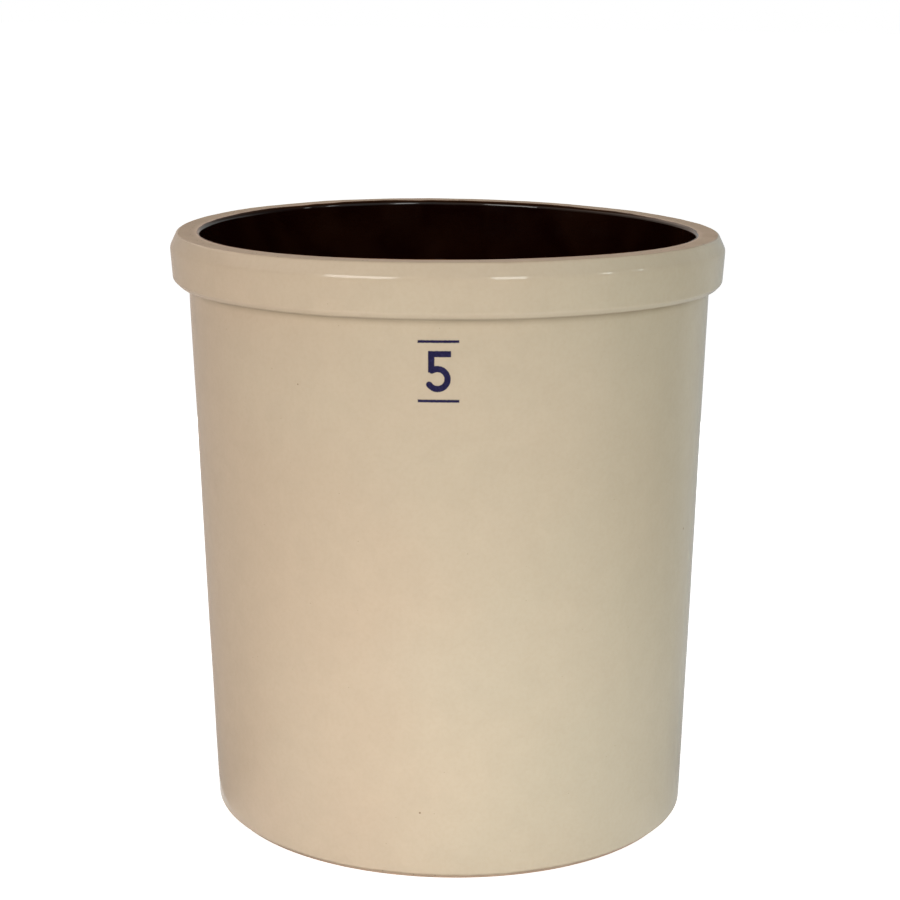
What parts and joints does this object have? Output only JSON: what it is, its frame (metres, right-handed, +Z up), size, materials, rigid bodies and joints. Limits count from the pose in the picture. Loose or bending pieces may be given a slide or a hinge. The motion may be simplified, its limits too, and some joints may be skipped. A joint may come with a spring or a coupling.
{
  "type": "preserving crock",
  "caption": "Straight-sided stoneware crock with a thick collar at the rim, cream glazed outside and brown glazed inside, open at the top for salting and fermenting food.",
  "frame": {"origin": "centre of the foot ring, on the surface that the crock stands on", "axes": "+Z up along the turning axis, -Y towards the side that carries the capacity mark, +X to the right of that side"},
  "size_m": [0.3176, 0.3176, 0.342],
  "materials": {
    "fired_clay": "matte",
    "cream_glaze": "gloss",
    "brown_glaze": "gloss"
  },
  "bodies": {
    "root": {"stoneware_body": "fired_clay", "outer_glaze": "cream_glaze", "inner_glaze": "brown_glaze"}
  },
  "joints": []
}
